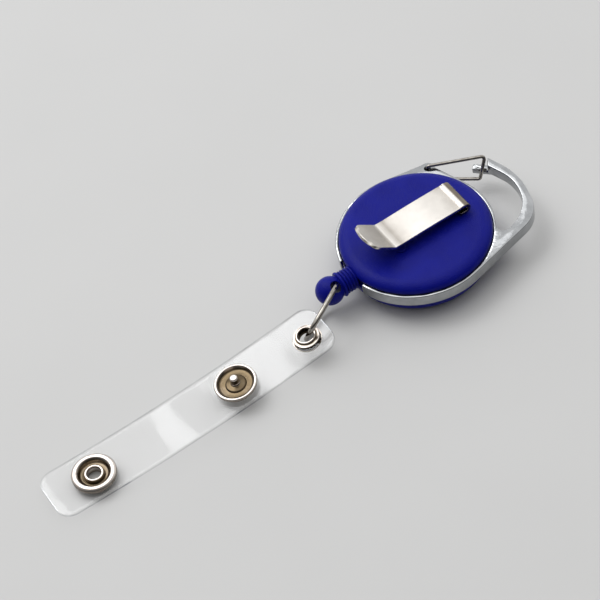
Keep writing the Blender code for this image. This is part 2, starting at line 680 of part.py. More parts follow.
def hang(name, pivot, parent, pieces):
    """Put an empty on a joint's axis and parent the pieces that move with it."""
    empty = bpy.data.objects.new(name, None)
    empty.empty_display_size = 2 * MM
    bpy.context.scene.collection.objects.link(empty)
    empty.location = Vector(pivot) * MM
    if parent:
        empty.parent = parent
        empty.matrix_parent_inverse = Matrix.Translation(-world_place(parent))
    for piece in pieces:
        piece.parent = empty
        piece.matrix_parent_inverse = Matrix.Translation(-Vector(pivot) * MM)
    return empty


def world_place(empty):
    """World position of an empty that is only ever moved, never turned."""
    return empty.location.copy()


def build():
    clear_scene()
    make_frame()
    make_back_cover()
    make_front_cover()
    make_rivet()
    make_post()
    base, tongue = make_clip()
    gate = make_gate()
    spool_pieces = [make_spool(), make_wound_cord(), make_power_spring()]
    lead = make_cord_lead()
    bead = make_bead()
    ring = make_link_ring()
    tab, flap = make_strap()
    strap_trim = [*make_eyelet(), *make_stud()]
    socket_trim = make_socket()

    bend_end = CLIP_BEND_Y + (CLIP_PLATE_MIDDLE - CLIP_BASE_MIDDLE) / 2
    hang("gate_hinge", (*GATE_PIVOT, FRAME_MIDDLE), None, [gate])
    hang("clip_hinge", (0, bend_end, (CLIP_BASE_MIDDLE + CLIP_PLATE_MIDDLE) / 2), None, [tongue])
    hang("spool_axis", (0, 0, FRAME_MIDDLE), None, spool_pieces)
    cord_slide = hang("cord_slide", (0, CORD_END_Y, FRAME_MIDDLE), None, [lead])
    swivel = hang("bead_swivel", BALL_CENTRE, cord_slide, [bead])
    near_ball, near_eyelet, _ = ring_ends()
    ring_hinge = hang("ring_hinge", HOLE_CENTRE, swivel, [ring])
    strap_hinge = hang("strap_hinge", near_eyelet, ring_hinge, [tab, *strap_trim])
    hang("fold_hinge", fold_axis()[0], strap_hinge, [flap, *socket_trim])


GUIDE = make_material("guide", (0.5, 0.5, 0.5), 0.5)
CHROME = make_material("chrome", (0.80, 0.81, 0.83), 0.12, metallic=1.0)
NICKEL = make_material("nickel", (0.78, 0.75, 0.70), 0.2, metallic=1.0)
STEEL = make_material("steel", (0.62, 0.62, 0.62), 0.25, metallic=1.0)
BLUE = make_material("blue_plastic", (0.012, 0.020, 0.27), 0.38)
WHITE_PLASTIC = make_material("white_plastic", (0.80, 0.80, 0.78), 0.5)
CORD_BLACK = make_material("black_nylon", (0.02, 0.02, 0.02), 0.7)
VINYL = make_material("clear_vinyl", (0.90, 0.92, 0.93), 0.12, alpha=0.35)

build()
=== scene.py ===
"""Retractable badge reel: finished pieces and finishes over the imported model's frame.

Drawings are in millimetres and become metres as each cage is made. The reel lies on its front cover
with the belt clip up, the hook towards +Y and the cord leaving towards -Y.
"""
import json
import math

import bpy
from mathutils import Matrix, Vector


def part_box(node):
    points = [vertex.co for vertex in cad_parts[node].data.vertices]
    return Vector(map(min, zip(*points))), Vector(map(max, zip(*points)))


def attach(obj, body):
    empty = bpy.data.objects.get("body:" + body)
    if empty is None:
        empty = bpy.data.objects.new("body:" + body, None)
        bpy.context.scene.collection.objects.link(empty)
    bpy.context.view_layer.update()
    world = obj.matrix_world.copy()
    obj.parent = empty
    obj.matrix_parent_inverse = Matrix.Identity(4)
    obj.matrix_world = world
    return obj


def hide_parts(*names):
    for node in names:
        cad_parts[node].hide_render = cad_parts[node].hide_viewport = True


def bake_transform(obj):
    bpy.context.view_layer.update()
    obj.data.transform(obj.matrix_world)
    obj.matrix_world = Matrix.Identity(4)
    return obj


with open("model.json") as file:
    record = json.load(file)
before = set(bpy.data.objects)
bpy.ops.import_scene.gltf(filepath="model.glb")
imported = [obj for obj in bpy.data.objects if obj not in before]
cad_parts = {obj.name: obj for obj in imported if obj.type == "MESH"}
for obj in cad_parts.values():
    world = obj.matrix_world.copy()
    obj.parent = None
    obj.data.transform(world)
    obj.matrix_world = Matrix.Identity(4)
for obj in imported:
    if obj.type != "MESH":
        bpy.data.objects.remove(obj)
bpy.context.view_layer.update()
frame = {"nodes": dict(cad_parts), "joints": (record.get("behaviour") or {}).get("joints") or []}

MM = 0.001
JOINTS = {joint["name"]: joint for joint in frame["joints"]}


# ---- Places taken from the frame, in millimetres ----

def low(node):
    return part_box(node)[0] / MM


def high(node):
    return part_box(node)[1] / MM


def middle(node):
    return (low(node) + high(node)) / 2


def pivot(joint):
    return Vector(JOINTS[joint]["pos_m"]) / MM


CAST_LOW = low("carabiner_frame").z
CAST_HIGH = high("carabiner_frame").z
CAST_MIDDLE = (CAST_LOW + CAST_HIGH) / 2
RING_RADIUS = high("carabiner_frame").x
RING_BORE = RING_RADIUS - 0.8
COVER_RADIUS = high("back_cover").x + 0.25
WALL_RADIUS = high("back_cover").x + 0.1
COVER_BORE = WALL_RADIUS - 1.6
COVER_TOP = high("back_cover").z
BACK_SEAM = CAST_MIDDLE + 0.8
FRONT_SEAM = CAST_MIDDLE - 0.8
CLIP_HALF_WIDTH = high("clip_tongue").x
GATE_PIVOT = pivot("gate_swing").to_2d()
HOLE_CENTRE = pivot("ring_swing")
RING_AXIS = Vector(JOINTS["ring_swing"]["axis"])
NEAR_EYELET = pivot("strap_swing")
BALL = pivot("bead_swivel")
EYELET_PLAN = middle("strap_eyelet").to_2d()
SOCKET_PLAN = middle("snap_socket").to_2d()
STUD_AT = (middle("snap_stud").to_2d() - EYELET_PLAN).length
SOCKET_AT = (SOCKET_PLAN - EYELET_PLAN).length

# ---- Sizes of the pieces ----

EXIT_HALF_WIDTH = 4.4
LIP_RADIUS = 15.9
CAST_EDGE = 0.28
HOOK_OUTSIDE = (((18.12, 4.6), 0.0), ((13.2, 25.6), 8.5), ((0.4, 29.0), 18.0),
                ((-8.3, 26.33), 0.0))
HOOK_INSIDE = (((-6.3, 24.78), 0.0), ((0.6, 27.0), 12.0), ((10.5, 24.7), 11.0),
               ((13.1, 15.2), 1.9), ((5.5, 15.8), 0.0))
LOBE_RADIUS = 1.9
NOSE_ROOT = Vector((-6.3, 26.4))
NOSE_TIP = Vector((-10.0, 23.0))
NOSE_HALF_WIDTH = 0.85
NOSE_HALF_DEPTH = 0.8
GATE_TOP = (-8.3, 25.7, CAST_HIGH + 0.8)
GATE_BOTTOM = (-6.8, 22.7, CAST_LOW - 0.8)
GATE_WIRE = 0.42
GATE_BEND = 0.65
BACK_EDGE = (2.9, 2.0)
FRONT_EDGE = (4.2, 4.4)
COVER_FACE = 1.2
FOOT_RADIUS = 12.6
FOOT_STEP = 0.18
EXIT_BLOCK = (3.95, 15.5, 17.05)
MARK_PLAN = (2.9, -5.8)
CLIP_STRIP = 0.7
CLIP_BASE_MIDDLE = COVER_TOP + 0.65
CLIP_BASE_END = 5.0
CLIP_TAB = 2.6
CLIP_TAB_TO = 10.0
CLIP_CORNER = 1.6
CLIP_LIP_Y = -7.8
CLIP_TIP = (-13.1, 17.1)
CLIP_PLATE_MIDDLE = 12.9
CLIP_BEND_Y = 11.6
CLIP_RIDGE_Y = 10.95
BALL_RADIUS = 3.4
BALL_HOLE = 1.4
STEM_RADIUS = 2.4
RIB_RADIUS = 2.85
RIB_COUNT = 4
COLLAR_RADIUS = 3.1
COLLAR_LENGTH = 0.9
CORD_RADIUS = 0.45
RING_WIRE = 0.6
RING_HALF_WIDTH = 5.3
STRAP_WIDTH = 13.8
STRAP_THICKNESS = 0.6
STRAP_CORNER = 3.6
STRAP_ROWS = 72
SNAP_OFFSET = 0.5
STRAP_REST = 1.2
STRAP_RISE = 3.9
STRAP_FLAT_FROM = 55.0
RING_END = -5.2
TAIL_END = SOCKET_AT + 11.4
SNAP_HEIGHT = 1.2
STUD_RADIUS = 5.0
SOCKET_RADIUS = 5.2
TUBE_RADIUS = 2.3
SKIN = STRAP_THICKNESS / 2
SNAP_BASE = SKIN + 0.05
SNAP_RIM = SKIN + 0.3 + SNAP_HEIGHT
STRAP_UNDER = -SKIN - 0.05


# ---- Drawing ----

def arc(centre, radius, start, end, step=6):
    """Points of a flat arc, its angles in degrees."""
    count = max(2, round(abs(end - start) / step))
    turns = [math.radians(start + (end - start) * index / count) for index in range(count + 1)]
    return [(centre[0] + radius * math.cos(a), centre[1] + radius * math.sin(a)) for a in turns]


def rounded(corners, step=8):
    """Path through (corner, radius) pairs, each corner rounded by its radius."""
    spots = [Vector(corner).to_3d() for corner, radius in corners]
    path = [spots[0]]
    for before, corner, (_, radius), after in zip(spots, spots[1:], corners[1:-1], spots[2:]):
        if radius == 0:
            path.append(corner)
            continue
        back = (before - corner).normalized()
        ahead = (after - corner).normalized()
        half = back.angle(ahead) / 2
        centre = corner + (back + ahead).normalized() * (radius / math.sin(half))
        reach = radius / math.tan(half)
        start = corner + back * reach - centre
        axis = start.cross(corner + ahead * reach - centre)
        turn = math.pi - 2 * half
        count = max(2, math.ceil(math.degrees(turn) / step))
        for index in range(count + 1):
            path.append(centre + Matrix.Rotation(turn * index / count, 3, axis) @ start)
    path.append(spots[-1])
    return path


def cage(name, points, edges=(), faces=()):
    """Object at the origin from points in millimetres."""
    mesh = bpy.data.meshes.new(name)
    mesh.from_pydata([Vector(point) * MM for point in points], list(edges), list(faces))
    mesh.update()
    piece = bpy.data.objects.new(name, mesh)
    bpy.context.scene.collection.objects.link(piece)
    return piece


def stack(piece, kind, **settings):
    modifier = piece.modifiers.new(kind.title(), kind)
    for key, value in settings.items():
        setattr(modifier, key, value)
    return modifier


def bevel(piece, width, segments=3, angle=40):
    stack(piece, "BEVEL", width=width * MM, segments=segments, limit_method="ANGLE",
          angle_limit=math.radians(angle), use_clamp_overlap=False)


def even_normals(piece):
    piece.data.shade_smooth()
    stack(piece, "WEIGHTED_NORMAL", weight=80, keep_sharp=True)


def crisp(piece, angle):
    """Keep the edges that turn by more than an angle in degrees sharp."""
    piece.data.set_sharp_from_angle(angle=math.radians(angle))


def settle(piece, place=None):
    """Apply the stack, and then the place in millimetres."""
    graph = bpy.context.evaluated_depsgraph_get()
    mesh = bpy.data.meshes.new_from_object(piece.evaluated_get(graph))
    if place is not None:
        metres = place.copy()
        metres.translation = place.translation * MM
        mesh.transform(metres)
    piece.modifiers.clear()
    piece.data = mesh
    return piece


def turned(name, corners, steps=72, place=None):
    """Turn a (radius, height) profile, its outer side drawn from top to bottom, about Z."""
    profile = [(p.x, 0, p.y) for p in rounded(corners, step=15)]
    closed = corners[0] == corners[-1]
    if closed:
        profile.pop()
    edges = [(index, index + 1) for index in range(len(profile) - 1)]
    if closed:
        edges.append((len(profile) - 1, 0))
    piece = cage(name, profile, edges)
    stack(piece, "SCREW", angle=math.tau, steps=steps, render_steps=steps, axis="Z",
          use_merge_vertices=True, merge_threshold=0.000005, use_smooth_shade=True)
    even_normals(piece)
    return settle(piece, place) if place is not None else piece


def wire(name, path, radius, closed=False):
    """Round wire along a path in millimetres."""
    curve = bpy.data.curves.new(name, "CURVE")
    curve.dimensions = "3D"
    curve.bevel_depth = radius * MM
    curve.bevel_resolution = 5
    curve.use_fill_caps = not closed
    spline = curve.splines.new("POLY")
    spline.points.add(len(path) - 1)
    for spot, point in zip(spline.points, path):
        spot.co = (*(Vector(point) * MM), 1.0)
    spline.use_cyclic_u = closed
    spline.use_smooth = True
    piece = bpy.data.objects.new(name, curve)
    bpy.context.scene.collection.objects.link(piece)
    return piece


def cut(piece, *cutters):
    """Cut a piece with helpers and remove them."""
    for cutter in cutters:
        stack(piece, "BOOLEAN", operation="DIFFERENCE", object=cutter, solver="EXACT")
    settle(piece)
    for cutter in cutters:
        bpy.data.objects.remove(cutter)
    return piece


def drill(radius, start, end, place):
    """Upright cylinder for cutting a hole."""
    corners = [((0, end), 0), ((radius, end), 0), ((radius, start), 0), ((0, start), 0)]
    return turned("drill", corners, steps=48, place=place)


def show(piece, finish, slot, body, *nodes):
    """Give a piece its finish, its body and the CAD nodes it stands for."""
    piece.data.materials.clear()
    piece.data.materials.append(finish)
    if body:
        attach(piece, body)
    if nodes:
        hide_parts(*nodes)
    return piece


# ---- Finishes ----

def new_finish(name, colour, metallic=0.0):
    finish = bpy.data.materials.new(name)
    finish.use_nodes = True
    tree = finish.node_tree
    shader = tree.nodes["Principled BSDF"]
    shader.inputs["Base Color"].default_value = (*colour, 1)
    shader.inputs["Metallic"].default_value = metallic
    return finish, tree, shader


def coordinates(tree, stretch=(1, 1, 1)):
    place = tree.nodes.new("ShaderNodeTexCoord")
    mapping = tree.nodes.new("ShaderNodeMapping")
    mapping.inputs["Scale"].default_value = stretch
    tree.links.new(place.outputs["Object"], mapping.inputs["Vector"])
    return mapping.outputs["Vector"]


def noise(tree, size, detail=3.0):
    """Noise whose patches are about size millimetres across."""
    texture = tree.nodes.new("ShaderNodeTexNoise")
    texture.inputs["Scale"].default_value = 1 / (size * MM)
    texture.inputs["Detail"].default_value = detail
    tree.links.new(coordinates(tree), texture.inputs["Vector"])
    return texture.outputs["Fac"]


def attribute(tree, name):
    """Value that a piece's own attribute gives."""
    reader = tree.nodes.new("ShaderNodeAttribute")
    reader.attribute_name = name
    return reader.outputs["Fac"]


def calculate(tree, operation, *values):
    """Math node on sockets and constants."""
    node = tree.nodes.new("ShaderNodeMath")
    node.operation = operation
    for socket, value in zip(node.inputs, values):
        if isinstance(value, float):
            socket.default_value = value
        else:
            tree.links.new(value, socket)
    return node


def between(tree, value, start, end, least=0.3, most=0.7):
    """Spread a value over a range. Noise runs from about 0.3 to 0.7."""
    spread = tree.nodes.new("ShaderNodeMapRange")
    spread.inputs["From Min"].default_value = least
    spread.inputs["From Max"].default_value = most
    spread.inputs["To Min"].default_value = start
    spread.inputs["To Max"].default_value = end
    tree.links.new(value, spread.inputs["Value"])
    return spread.outputs["Result"]


def tint(tree, value, first, second):
    """Blend two colours by a value."""
    ramp = tree.nodes.new("ShaderNodeValToRGB")
    ramp.color_ramp.elements[0].position = 0.3
    ramp.color_ramp.elements[0].color = (*first, 1)
    ramp.color_ramp.elements[1].position = 0.7
    ramp.color_ramp.elements[1].color = (*second, 1)
    tree.links.new(value, ramp.inputs["Fac"])
    return ramp.outputs["Color"]


def roughen(tree, shader, height, depth):
    """Bump of the given depth in millimetres."""
    bump = tree.nodes.new("ShaderNodeBump")
    bump.inputs["Distance"].default_value = depth * MM
    bump.inputs["Strength"].default_value = 1.0
    tree.links.new(height, bump.inputs["Height"])
    tree.links.new(bump.outputs["Normal"], shader.inputs["Normal"])


def metal(name, colour, other, smooth, rough, patch, depth):
    """Plated metal: slow tone change, uneven gloss and a shallow ripple."""
    finish, tree, shader = new_finish(name, colour, metallic=1.0)
    slow = noise(tree, patch)
    tree.links.new(tint(tree, slow, colour, other), shader.inputs["Base Color"])
    fine = noise(tree, patch / 6)
    tree.links.new(between(tree, fine, smooth, rough), shader.inputs["Roughness"])
    roughen(tree, shader, slow, depth)
    return finish


def painted_shade_metal(name, shade_mask, bare_colour, brown, smooth, rough, ripple):
    """Warm nickel whose tone goes dark brown where the named attribute says, as painted shade and
    painted reflection, with a little random tone on top.
    """
    finish, tree, shader = new_finish(name, bare_colour, metallic=1.0)
    # The attribute's dark brown is painted shade and painted reflection; the noise is random tone.
    shade_amount = between(tree, attribute(tree, shade_mask), 0.24, 0.64, least=0.0, most=1.0)
    uneven = calculate(tree, "MULTIPLY_ADD", noise(tree, 3.0), 0.12, shade_amount)
    tone = tint(tree, uneven.outputs["Value"], bare_colour, brown)
    tree.links.new(tone, shader.inputs["Base Color"])
    tree.links.new(between(tree, noise(tree, 0.7), smooth, rough), shader.inputs["Roughness"])
    roughen(tree, shader, noise(tree, 2.5, detail=1.0), ripple)
    return finish


def plastic(name, colour, other, smooth, rough, grain, depth, gloss=0.5):
    """Moulded plastic with a fine grain."""
    finish, tree, shader = new_finish(name, colour)
    tree.links.new(tint(tree, noise(tree, 6.0), colour, other), shader.inputs["Base Color"])
    tree.links.new(between(tree, noise(tree, 1.5), smooth, rough), shader.inputs["Roughness"])
    roughen(tree, shader, noise(tree, grain, detail=2.0), depth)
    shader.inputs["Specular IOR Level"].default_value = gloss
    return finish


def vinyl():
    """Clear flexible sheet that shows by its reflections and, more strongly, at its cut edges,
    which are painted dark grey as painted shade.
    """
    finish, tree, shader = new_finish("clear vinyl", (1.0, 1.0, 1.0), metallic=1.0)
    edge = attribute(tree, "edge")
    # Cut edges painted dark grey: painted shade.
    tone = tint(tree, edge, (0.98, 0.99, 1.0), (0.20, 0.21, 0.26))
    tree.links.new(tone, shader.inputs["Base Color"])
    tree.links.new(between(tree, noise(tree, 5.0), 0.03, 0.09), shader.inputs["Roughness"])
    roughen(tree, shader, noise(tree, 9.0, detail=1.0), 0.06)
    weight = tree.nodes.new("ShaderNodeLayerWeight")
    weight.inputs["Blend"].default_value = 0.5
    graze = calculate(tree, "POWER", weight.outputs["Facing"], 5.0)
    gloss = calculate(tree, "MULTIPLY_ADD", graze.outputs["Value"], 0.45, 0.028)
    cut_edge = between(tree, noise(tree, 7.0), 0.25, 0.8)
    cover = calculate(tree, "MULTIPLY_ADD", edge, cut_edge, gloss.outputs["Value"])
    cover.use_clamp = True
    tree.links.new(cover.outputs["Value"], shader.inputs["Alpha"])
    return finish


def braid():
    """Braided nylon: two crossing sets of strands."""
    finish, tree, shader = new_finish("black braid", (0.02, 0.02, 0.022))
    shader.inputs["Roughness"].default_value = 0.65
    heights = []
    for lean in (1, -1):
        wave = tree.nodes.new("ShaderNodeTexWave")
        wave.inputs["Scale"].default_value = 1 / (1.2 * MM)
        wave.inputs["Distortion"].default_value = 0.4
        tree.links.new(coordinates(tree, (1, lean, 1)), wave.inputs["Vector"])
        wave.bands_direction = "DIAGONAL"
        heights.append(wave.outputs["Fac"])
    both = calculate(tree, "MAXIMUM", *heights)
    woven = tint(tree, both.outputs["Value"], (0.008, 0.008, 0.009), (0.05, 0.05, 0.055))
    tree.links.new(woven, shader.inputs["Base Color"])
    roughen(tree, shader, both.outputs["Value"], 0.08)
    return finish


CAST_CHROME = metal("cast chrome", (0.43, 0.44, 0.45), (0.33, 0.34, 0.35), 0.08, 0.15, 2.5, 0.06)
# The clip's dark brown is painted shade and painted reflection, laid on by its attribute.
CLIP_NICKEL = painted_shade_metal("clip nickel", "shade_mask", (0.74, 0.71, 0.67),
                            (0.17, 0.14, 0.11), 0.20, 0.25, ripple=0.006)
INNER_NICKEL = metal("inner nickel", (0.78, 0.74, 0.68), (0.70, 0.66, 0.60), 0.20, 0.30,
                     2.0, 0.02)
WIRE_STEEL = metal("wire steel", (0.38, 0.36, 0.33), (0.24, 0.22, 0.20), 0.10, 0.18, 1.2, 0.02)
SPRING_STEEL = metal("spring steel", (0.42, 0.43, 0.47), (0.30, 0.31, 0.36), 0.25, 0.4, 2.0, 0.02)
# The snaps' dark brown is painted shade and painted reflection: deeper down in their dishes, under
# the strap and on their outer walls.
SNAP_NICKEL = painted_shade_metal("snap nickel", "dish", (0.64, 0.58, 0.54),
                            (0.10, 0.075, 0.045), 0.15, 0.24, ripple=0.03)
BLUE_PLASTIC = plastic("blue plastic", (0.002, 0.004, 0.18), (0.003, 0.006, 0.22), 0.30, 0.40,
                       0.30, 0.10, gloss=0.10)
SPOOL_PLASTIC = plastic("spool plastic", (0.74, 0.73, 0.69), (0.80, 0.79, 0.76), 0.42, 0.55,
                        0.3, 0.015)
CLEAR_VINYL = vinyl()
BLACK_BRAID = braid()


# ---- Carabiner frame and gate ----

def frame_outline():
    """Outline of the split ring with its hook arm and gate lobe, in one closed path."""
    gap = math.degrees(math.asin(EXIT_HALF_WIDTH / RING_RADIUS))
    bore_gap = math.degrees(math.asin(EXIT_HALF_WIDTH / RING_BORE))
    arm_foot = HOOK_OUTSIDE[0][0]
    web_foot = HOOK_INSIDE[-1][0]
    arm_angle = math.degrees(math.atan2(arm_foot[1], arm_foot[0]))
    web_angle = math.degrees(math.atan2(web_foot[1], web_foot[0]))
    outside = [tuple(p.xy) for p in rounded(HOOK_OUTSIDE, step=5)]
    inside = [tuple(p.xy) for p in rounded(HOOK_INSIDE, step=5)][:-1]
    path = arc((0, 0), RING_RADIUS, gap - 90, arm_angle - 2, 4) + outside + inside
    path += arc((0, 0), RING_RADIUS, web_angle - 1, 112, 4)
    path += arc(GATE_PIVOT, LOBE_RADIUS, 62, 190, 12)
    path += arc((0, 0), RING_RADIUS, 165, 270 - gap, 4)
    path += arc((0, 0), RING_BORE, 270 - bore_gap, bore_gap - 90, 4)
    return path


def plate(name, outline, bottom, top, edge, segments=4):
    """Flat piece of the given outline with rounded edges."""
    points = [(x, y, bottom) for x, y in outline]
    piece = cage(name, points, faces=[list(range(len(points)))])
    stack(piece, "SOLIDIFY", thickness=(top - bottom) * MM, offset=1, use_even_offset=True)
    bevel(piece, edge, segments)
    even_normals(piece)
    return piece


def gate_hole():
    return drill(GATE_WIRE + 0.4, CAST_LOW - 1, CAST_HIGH + 1, Matrix.Translation((*GATE_PIVOT, 0)))


def make_casting():
    casting = plate("frame_casting", frame_outline(), CAST_LOW, CAST_HIGH, CAST_EDGE)
    cut(casting, gate_hole())
    crisp(casting, 50)
    show(casting, CAST_CHROME, "chrome", "housing", "carabiner_frame")
    gap = math.degrees(math.asin((EXIT_HALF_WIDTH - 0.2) / LIP_RADIUS))
    lip = (arc((0, 0), RING_BORE + 0.2, gap - 88, 268 - gap, 5)
           + arc((0, 0), LIP_RADIUS, 270 - gap, gap - 90, 5))
    show(plate("frame_lip", lip, CAST_MIDDLE - 0.5, CAST_MIDDLE + 0.5, 0.1, 2),
         CAST_CHROME, "chrome", "housing")
    make_nose()


def make_nose():
    """Thin nose on the hook's end, grooved for the gate's cross wire."""
    side = (NOSE_TIP - NOSE_ROOT).normalized().orthogonal() * NOSE_HALF_WIDTH
    root = NOSE_ROOT - (NOSE_TIP - NOSE_ROOT) * 0.12
    outline = [tuple(p) for p in (root - side, root + side, NOSE_TIP + side, NOSE_TIP - side)]
    nose = plate("gate_nose", outline, CAST_MIDDLE - NOSE_HALF_DEPTH,
                 CAST_MIDDLE + NOSE_HALF_DEPTH, 0.25)
    top = Vector(GATE_TOP)
    bottom = Vector(GATE_BOTTOM)
    turn = (top - bottom).to_track_quat("Z", "Y").to_matrix().to_4x4()
    groove = drill(GATE_WIRE + 0.25, 0, (top - bottom).length, Matrix.Translation(bottom) @ turn)
    cut(nose, groove)
    crisp(nose, 50)
    show(nose, CAST_CHROME, "chrome", "housing")


def make_gate():
    """Spring wire gate with its two ends turned into the lobe's hole."""
    corners = (((*GATE_PIVOT, CAST_MIDDLE + 0.4), 0), ((*GATE_PIVOT, GATE_TOP[2]), GATE_BEND),
               (GATE_TOP, GATE_BEND), (GATE_BOTTOM, GATE_BEND),
               ((*GATE_PIVOT, GATE_BOTTOM[2]), GATE_BEND), ((*GATE_PIVOT, CAST_MIDDLE - 0.4), 0))
    show(wire("gate_spring_wire", rounded(corners), GATE_WIRE), WIRE_STEEL, "steel", "gate",
         "gate_wire")


# ---- Covers ----

def cover_edge(radius, width, height, face, side):
    """Quarter ellipse from a cover's flat face out to its wall. Side is 1 above and -1 below."""
    return [((radius - width + width * x, face - side * height * (1 - y)), 0)
            for x, y in arc((0, 0), 1, 90, 0, 6)]


def make_covers():
    """Back shell, which laps over the ring's inner edge, and front shell under the ring."""
    lap = CAST_HIGH + 0.05
    inside = COVER_TOP - COVER_FACE
    back = [((0, COVER_TOP), 0), *cover_edge(COVER_RADIUS, *BACK_EDGE, COVER_TOP, 1),
            ((COVER_RADIUS, lap), 0), ((WALL_RADIUS, lap), 0), ((WALL_RADIUS, BACK_SEAM), 0),
            ((COVER_BORE, BACK_SEAM), 0), ((COVER_BORE, inside), 0.5), ((0, inside), 0)]
    show(turned("back_shell", back, steps=128), BLUE_PLASTIC, "blue_plastic",
         "housing", "back_cover")
    edge = cover_edge(WALL_RADIUS, *FRONT_EDGE, 0, -1)
    front = [((0, COVER_FACE), 0), ((COVER_BORE - 0.8, COVER_FACE), 0.5), ((COVER_BORE, 3.6), 0),
             ((COVER_BORE, FRONT_SEAM), 0), ((WALL_RADIUS, FRONT_SEAM), 0), *reversed(edge),
             ((FOOT_RADIUS, 0), 0.2), ((FOOT_RADIUS - 0.2, FOOT_STEP), 0.2), ((0, FOOT_STEP), 0)]
    show(turned("front_shell", front, steps=128), BLUE_PLASTIC, "blue_plastic",
         "housing", "front_cover")
    make_exit_block("exit_block_back", CAST_MIDDLE + 0.08, BACK_SEAM + 0.5)
    make_exit_block("exit_block_front", FRONT_SEAM - 0.5, CAST_MIDDLE - 0.08)
    make_moulding_mark()


def make_exit_block(name, bottom, top):
    """Half of the wall round the cord's hole, between the frame's two ends."""
    half, near, far = EXIT_BLOCK
    outline = [(-half, -far), (half, -far), (half, -near), (-half, -near)]
    block = plate(name, outline, bottom, top, 0.15, 2)
    along = Matrix.Translation((0, -13, CAST_MIDDLE)) @ Matrix.Rotation(math.pi / 2, 4, "X")
    cut(block, drill(0.9, 0, 6, along))
    crisp(block, 40)
    show(block, BLUE_PLASTIC, "blue_plastic", "housing")


def make_moulding_mark():
    """Round ejector mark beside the clip, a shallow disc with a soft rim."""
    corners = (((0, 0.06), 0), ((0.95, 0.06), 0.1), ((1.15, 0.3), 0.08), ((1.35, 0.3), 0.12),
               ((1.55, -0.1), 0), ((0, -0.1), 0))
    place = Matrix.Translation((*MARK_PLAN, COVER_TOP))
    show(turned("moulding_mark", corners, 40, place), BLUE_PLASTIC, "blue_plastic",
         "housing")


# ---- Belt clip ----

def clip_line():
    """Middle line of the bent strip in (y, z), from its base to the tip of its lip."""
    lower, upper = CLIP_BASE_MIDDLE, CLIP_PLATE_MIDDLE
    centre = (CLIP_BEND_Y, (lower + upper) / 2)
    base = [(CLIP_BASE_END, lower), (9.5, lower), (10.3, lower)]
    bend = arc(centre, (upper - lower) / 2, -90, 66, 12)
    ridge = [(11.45, upper + 0.02), (11.2, upper + 0.12), (CLIP_RIDGE_Y, upper + 0.05),
             (10.5, upper - 0.04)]
    plate_line = [(y, upper - 0.03 + 0.05 * math.cos((y - 2) / 9 * math.pi))
                  for y in range(10, -7, -1)]
    lip = rounded(((plate_line[-1], 0), ((CLIP_LIP_Y, upper + 0.02), 0.45), (CLIP_TIP, 0)),
                  step=12)
    flare = [tuple(p.xy) for p in lip[1:]]
    last, before = flare[-1], flare[-2]
    run = [(before[0] + (last[0] - before[0]) * t, before[1] + (last[1] - before[1]) * t)
           for t in (0.15, 0.3, 0.45, 0.6, 0.72, 0.85, 0.95, 1.0)]
    return base + bend + ridge + plate_line + flare[:-1] + run


def clip_painted_shade(y, z):
    """Painted shade and painted reflection on the clip, 0 to 1, shown as dark brown: strongest in
    the creases beside the clip's bends, under the plate and in the U bend, and fading along the
    lip.
    """
    # Base tab under the plate: painted shade.
    if z < CLIP_PLATE_MIDDLE - 0.9:
        return 0.9
    # Lip: painted dark reflection, fading towards the tip.
    if z > CLIP_PLATE_MIDDLE + 0.7:
        along = (z - CLIP_PLATE_MIDDLE) / (CLIP_TIP[1] - CLIP_PLATE_MIDDLE)
        return 0.62 - 0.3 * along
    # Beside the lip and the ridge: painted shade in the creases.
    beside_lip = beside_ridge = 0.0
    if y > CLIP_LIP_Y + 0.3:
        beside_lip = 0.85 * math.exp(-max(0.0, y - CLIP_LIP_Y - 0.4) / 3.5)
    if y < CLIP_RIDGE_Y:
        beside_ridge = 0.65 * math.exp(-max(0.0, 10.9 - y) / 3.0)
    # Inside the U bend: painted shade.
    past_ridge = 0.95 if y > 11.5 else 0.0
    return max(beside_lip, beside_ridge, past_ridge)


def make_clip():
    """One strip of spring steel: riveted base tab, U bend, ridge, plate and flared lip."""
    columns = 12
    line = clip_line()
    tip_y, tip_z = line[-1]
    points = []
    for y, z in line:
        to_corner = CLIP_CORNER - math.hypot(y - tip_y, z - tip_z)
        half = CLIP_HALF_WIDTH
        if z > CLIP_PLATE_MIDDLE and to_corner > 0:
            half -= CLIP_CORNER - math.sqrt(CLIP_CORNER ** 2 - to_corner ** 2)
        if z < CLIP_PLATE_MIDDLE - 1 and y < CLIP_TAB_TO:
            half = CLIP_TAB
        share = max(0.0, (z - CLIP_PLATE_MIDDLE - 0.5) / (tip_z - CLIP_PLATE_MIDDLE))
        for column in range(columns + 1):
            across = 2 * column / columns - 1
            crown = 0.8 * (1 - across ** 2) * share
            points.append((across * half, y - crown * 0.8, z + crown * 0.3))
    faces = []
    width = columns + 1
    for row in range(len(line) - 1):
        for column in range(columns):
            corner = row * width + column
            faces.append((corner, corner + 1, corner + 1 + width, corner + width))
    strip = cage("belt_clip", points, faces=faces)
    stack(strip, "SOLIDIFY", thickness=CLIP_STRIP * MM, offset=0)
    bevel(strip, 0.1, 3, 55)
    even_normals(strip)
    settle(strip)
    # Painted shade and painted reflection for the clip's finish, by where each point lies.
    shade_mask = strip.data.attributes.new("shade_mask", "FLOAT", "POINT")
    for vertex, value in zip(strip.data.vertices, shade_mask.data):
        value.value = clip_painted_shade(vertex.co.y / MM, vertex.co.z / MM)
    show(strip, CLIP_NICKEL, "nickel", None, "clip_base", "clip_tongue")
    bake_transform(strip)


# ---- Cord, ball end and ring ----

